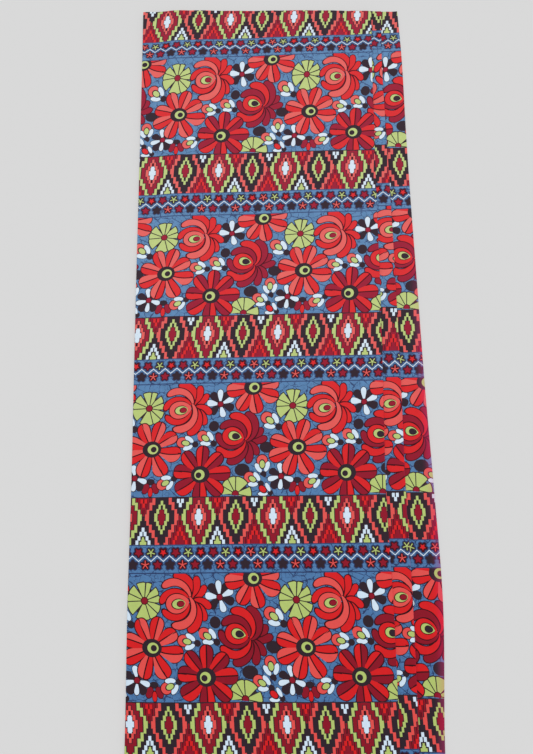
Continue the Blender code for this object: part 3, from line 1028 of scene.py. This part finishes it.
def star_band(u, down, ground):
    """The star band: two rows of stars on the blue ground, parted by a white zigzag."""
    swing = work("PINGPONG", u - (UPPER_STARS[0] - 4.0 * STAR_PITCH), STAR_PITCH / 2.0)
    off_line = down - plus_times(swing, (ZIGZAG[1] - ZIGZAG[0]) / (STAR_PITCH / 2.0), ZIGZAG[0])
    lower = off_line > 0.0
    moved_across = u - choose(lower, LOWER_STARS[0], UPPER_STARS[0])
    x = wrapped(moved_across, -STAR_PITCH / 2.0, STAR_PITCH / 2.0)
    tip_way = choose(lower, LOWER_STARS[1] - down, down - UPPER_STARS[1])
    order = wrapped(plus_times(moved_across, 1.0 / REPEAT_ACROSS, 1.0 / 24.0), 0.0, 1.0)
    stops = [(i / 12.0, a / INKS, b / INKS, STAR_BODIES[a] / INKS, STAR_BODIES[b] / INKS)
             for i, (a, b) in enumerate(zip(UPPER_STAR_INKS, LOWER_STAR_INKS))]
    upper_ink, lower_ink, upper_body, lower_body = lookup(order, stops, steady=True)
    star_ink = choose(lower, lower_ink, upper_ink) * INKS
    body_ink = choose(lower, lower_body, upper_body) * INKS
    distance = work("SQRT", squares(x, tip_way))
    angle = abs(wrapped(work("ARCTAN2", x, tip_way), -math.pi / 5.0, math.pi / 5.0))
    reach = distance * work("COSINE", angle - STAR_SLANT)
    rim = STAR_RADIUS * math.cos(STAR_SLANT)
    pale = star_ink > (RED + CORAL) / 2.0
    ink = ground
    for (margin, radius), colour in ((STAR_HALO, DEEP_BLUE), (STAR_BODY, body_ink)):
        ink = choose((reach < rim + margin) * (distance < radius), colour, ink)
    arm = (distance * work("SINE", angle) < ARM_HALF_WIDTH) * (distance < ARM_LENGTH)
    core = reach < choose(abs(star_ink - CRIMSON) < 0.5, rim - CRIMSON_CORE, rim - STAR_CORE)
    ink = choose(choose(pale, arm, core), star_ink, ink)
    line = abs(off_line)
    ink = choose(line < ZIGZAG_WIDTHS[1], DEEP_BLUE, ink)
    return choose(line < ZIGZAG_WIDTHS[0], WHITE, ink)


# The blue ground's crackle, the cotton, and the light and shade painted into its print
VEINS = (                   # cells' size across and along, and the veins' widening and least width
    (9.0, 8.0, 0.13, -0.03), (3.4, 3.1, 0.26, -0.12),
)
VEIN_SWAY = (0.5, -0.4)     # how far a slow noise of this size bends them across and along
SWAY_SIZE = 4.0
VEIN_PATCHES = 6.0          # size of the patches where they are thicker
WARP_PITCH = 0.34           # threads that run along the cloth, in millimetres
WEFT_PITCH = 0.40
THREAD_RELIEF = 0.35        # of their crossings, beside the thicker threads' 1
THICK_THREADS = (0.9, 16.0)         # width and length of the thicker ones
FINE_THREADS = (0.7, 5.0)   # width and length of the streaks in the ink
THREAD_SHADE = 0.10
MOTTLE_SIZE = 5.0
MOTTLE_SHADE = 0.16
LOWEST_SHADE = 0.82
BLOTCH_SIZE = 7.0           # of the paler and darker places in the blue ground
BLOTCH_SHADE = 0.4
RELIEF_STRENGTH = 0.35
RELIEF_DEPTH = 0.0001
PAINTED_SHADE_POWER = 0.27            # painted shade: how much darker the print is made towards the near end, as a power
PAINTED_SHADE_SPAN = 340.0
PAINTED_SHADE_START = 0.75
FOLD_SHEEN_STRENGTH = 0.24               # painted sheen: how far the print is lightened towards a pale pink at the folds' edges
FOLD_SHEEN_COLOUR = "EC4490"
BLACK_PAINTED_SHADE = 0.4       # the near-black ink gets only this part of that painted shade


def vector(u, v):
    """Two terms as a vector."""
    return add_node(u.tree, "CombineXYZ", {"X": u, "Y": v}).outputs["Vector"]


def noise(u, v, across, along, detail, roughness=0.5):
    """A fractal noise term around 0.5, with features of these lengths."""
    place = vector(u * (1.0 / across), v * (1.0 / along))
    node = add_node(u.tree, "TexNoise", {"Vector": place, "Scale": 1.0, "Detail": detail,
                                         "Roughness": roughness})
    return Term(node.outputs["Fac"])


def crackle(u, v):
    """The blue ground's ink, crossed by dark veins of two sizes, thicker in some places."""
    sway = noise(u, v, SWAY_SIZE, SWAY_SIZE, 2.0)
    patches = noise(u, v, VEIN_PATCHES, VEIN_PATCHES, 1.0)
    veins = []
    for across, along, widening, least in VEINS:
        place = vector(plus_times(sway, VEIN_SWAY[0], u * (1.0 / across)),
                       plus_times(sway, VEIN_SWAY[1], v * (1.0 / along)))
        cells = add_node(u.tree, "TexVoronoi", {}, voronoi_dimensions="2D", feature="DISTANCE_TO_EDGE")
        feed(cells, {"Vector": place, "Scale": 1.0, "Randomness": 1.0})
        veins.append(Term(cells.outputs["Distance"]) < plus_times(patches, widening, least))
    return choose(work("MAXIMUM", *veins), DEEP_BLUE, BLUE)


FLORAL_TOP = DIAMOND_BAND + FLORAL_BAND - 0.9
BAND_LINES = (              # place up, half width and ink of the thin dark lines between the bands
    (DIAMOND_BAND + 0.3, 0.4, NEAR_BLACK),
    (FLORAL_TOP, 0.5, DEEP_BLUE),
    (REPEAT_ALONG - 0.4, 0.45, DEEP_BLUE),
)


def chart_ink(u, v):
    """The ink number of every point, from its place in the print."""
    height = wrapped(v, 0.0, REPEAT_ALONG)
    ground = crackle(u, v)
    ink = in_group(floral_band, (u, height - DIAMOND_BAND, ground))
    ink = choose(height > FLORAL_TOP, in_group(star_band, (u, REPEAT_ALONG - height, ground)), ink)
    ink = choose(height < DIAMOND_BAND, in_group(diamond_band, (u, height)), ink)
    for place, half_width, colour in BAND_LINES:
        ink = choose(abs(height - place) < half_width, colour, ink)
    return ink


def ink_colour(ink):
    """The colour of an ink number."""
    stops = [(max(number - 0.5, 0.0) / INKS, *linear_colour(code))
             for number, code in enumerate(INK_COLOURS)]
    return ramp(ink * (1.0 / INKS), stops, steady=True).outputs["Color"]


def weave_height(u, v):
    """Relief of a plain weave: threads over and under each other, some thicker than others."""
    width, length = THICK_THREADS
    warp = work("SINE", u * (math.tau / WARP_PITCH))
    weft = work("SINE", v * (math.tau / WEFT_PITCH))
    crossings = warp * weft * THREAD_RELIEF
    return crossings + noise(u, v, width, length, 1.0) + noise(u, v, length, width, 1.0)


def new_material(name, **looks):
    """A material of one shader, with its inputs by their names; returns both."""
    material = bpy.data.materials.new(name)
    material.use_nodes = True
    shader = material.node_tree.nodes["Principled BSDF"]
    feed(shader, {label.replace("_", " "): value for label, value in looks.items()})
    return material, shader


def cotton_material():
    """Wax-printed plain-weave cotton with a faint sheen, plus a painted sheen near the folds and painted
    shade towards the near end.
    """
    material, shader = new_material("wax_printed_cotton", Roughness=0.8, Specular_IOR_Level=0.15,
                                    Sheen_Weight=0.03, Sheen_Roughness=0.45)
    tree = shader.id_data
    attribute = add_node(tree, "Attribute", {}, attribute_type="GEOMETRY", attribute_name="print_place_and_sheen")
    parts = add_node(tree, "SeparateXYZ", {"Vector": attribute.outputs["Vector"]})
    u, v, sheen_band = [Term(socket) for socket in parts.outputs]
    ink = chart_ink(u, v)
    # Painted sheen: the print lightened towards pale pink near the folds
    painted_sheen = add_node(tree, "Mix", {}, data_type="RGBA")
    feed(painted_sheen, {"Factor": sheen_band * FOLD_SHEEN_STRENGTH, "A": ink_colour(ink), "B": linear_colour(FOLD_SHEEN_COLOUR)})

    # Painted shade: the print darkened towards the near end, the near-black ink less
    painted_shade = plus_times(v, -1.0 / PAINTED_SHADE_SPAN, -PAINTED_SHADE_START)
    painted_shade = work("MINIMUM", work("MAXIMUM", painted_shade, 0.0), 1.0)
    painted_shade = painted_shade * choose(ink < 0.5, BLACK_PAINTED_SHADE, 1.0)
    depth = add_node(tree, "Gamma", {"Color": painted_sheen.outputs["Result"],
                                     "Gamma": plus_times(painted_shade, PAINTED_SHADE_POWER, 1.0)})

    width, length = FINE_THREADS
    mottle = noise(u, v, MOTTLE_SIZE, MOTTLE_SIZE, 3.0, 0.6)
    threads = noise(u, v, width, length, 1.0) + noise(u, v, length, width, 1.0)
    shade = plus_times(mottle, MOTTLE_SHADE, plus_times(threads, THREAD_SHADE, LOWEST_SHADE))
    blotches = noise(u, v, BLOTCH_SIZE, BLOTCH_SIZE, 2.0)
    blotched = plus_times(blotches, BLOTCH_SHADE, shade - BLOTCH_SHADE / 2.0)
    shade = choose(ink > WHITE + 0.5, blotched, shade)
    tint = add_node(tree, "VectorMath", {0: depth.outputs["Color"], "Scale": shade}, operation="SCALE")
    bump = add_node(tree, "Bump", {"Strength": RELIEF_STRENGTH, "Distance": RELIEF_DEPTH,
                                   "Height": weave_height(u, v)})
    feed(shader, {"Base Color": tint.outputs["Vector"], "Normal": bump.outputs["Normal"]})
    return material


def add_cloth():
    """The three leaves of the stack, which together are the one cloth."""
    material, leaves = cotton_material(), fold_cloth()
    table = (               # name, phase, reach, columns that show, fold with painted sheen and that sheen's width, what is below
        ("cloth_top_leaf", 0.3, 0.0002, (5, 75), "first_fold", 0.0006, ["cloth_middle_leaf"]),
        ("cloth_middle_leaf", 1.9, 0.0014, (15, 72), "second_fold", 0.0010, ["cloth_bottom_leaf"]),
        ("cloth_bottom_leaf", 3.7, 0.0026, (13, 74), "outer_fold", 0.0085, ["cloth"]),
    )
    for leaf, (name, phase, reach, shown, fold, sheen_band, below) in zip(leaves, table):
        piece, width = build_shell(name, leaf, phase, reach, shown, fold, sheen_band)
        piece.data.materials.append(material)
        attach(piece, "root")
        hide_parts("cloth")


# Floor, light and camera

WHITE_LIGHT = (1.0, 1.0, 1.0, 1.0)


def add_floor():
    """A plain pale floor."""
    data = bpy.data.meshes.new("floor")
    half = 4.0
    corners = [(-half, -half, 0.0), (half, -half, 0.0), (half, half, 0.0), (-half, half, 0.0)]
    data.from_pydata(corners, [], [(0, 1, 2, 3)])
    material, _ = new_material(
        "pale_floor", Base_Color=(FLOOR_TONE, FLOOR_TONE, FLOOR_TONE, 1.0), Roughness=0.9,
        Specular_IOR_Level=0.1, Emission_Color=WHITE_LIGHT, Emission_Strength=FLOOR_GLOW)
    data.materials.append(material)
    add_object("floor", data)


def add_light():
    """Even studio light: a pale surround, and a very broad light from above and the far left."""
    world = bpy.data.worlds.new("studio")
    world.use_nodes = True
    feed(world.node_tree.nodes["Background"], {"Color": WHITE_LIGHT, "Strength": SURROUND})
    bpy.context.scene.world = world
    data = bpy.data.lights.new("broad_light", "SUN")
    data.angle = math.radians(BROAD_LIGHT_SPREAD)
    tilt = [math.radians(angle) for angle in BROAD_LIGHT_TILT]
    data.energy = (1.0 - SURROUND) * math.pi / (math.cos(tilt[0]) * math.cos(tilt[1]))
    light = add_object("broad_light", data)
    light.location = (0.0, 0.0, 2.0)
    light.rotation_euler = (*tilt, 0.0)


def add_camera():
    """The photograph's view: from above and a little from the near end."""
    data = bpy.data.cameras.new("camera")
    data.sensor_width = SENSOR
    data.lens = FOCAL_PIXELS / PHOTO_HEIGHT_PIXELS * SENSOR
    data.clip_start = 0.01
    camera = add_object("camera", data)
    elevation = math.radians(CAMERA_ELEVATION)
    x, y, z = CAMERA_TARGET
    camera.location = (x, y - CAMERA_DISTANCE * math.cos(elevation),
                       z + CAMERA_DISTANCE * math.sin(elevation))
    camera.rotation_euler = (math.pi / 2.0 - elevation, 0.0, 0.0)
    bpy.context.scene.camera = camera


add_cloth()
add_floor()
add_light()
add_camera()
bpy.context.scene.view_settings.view_transform = "Standard"
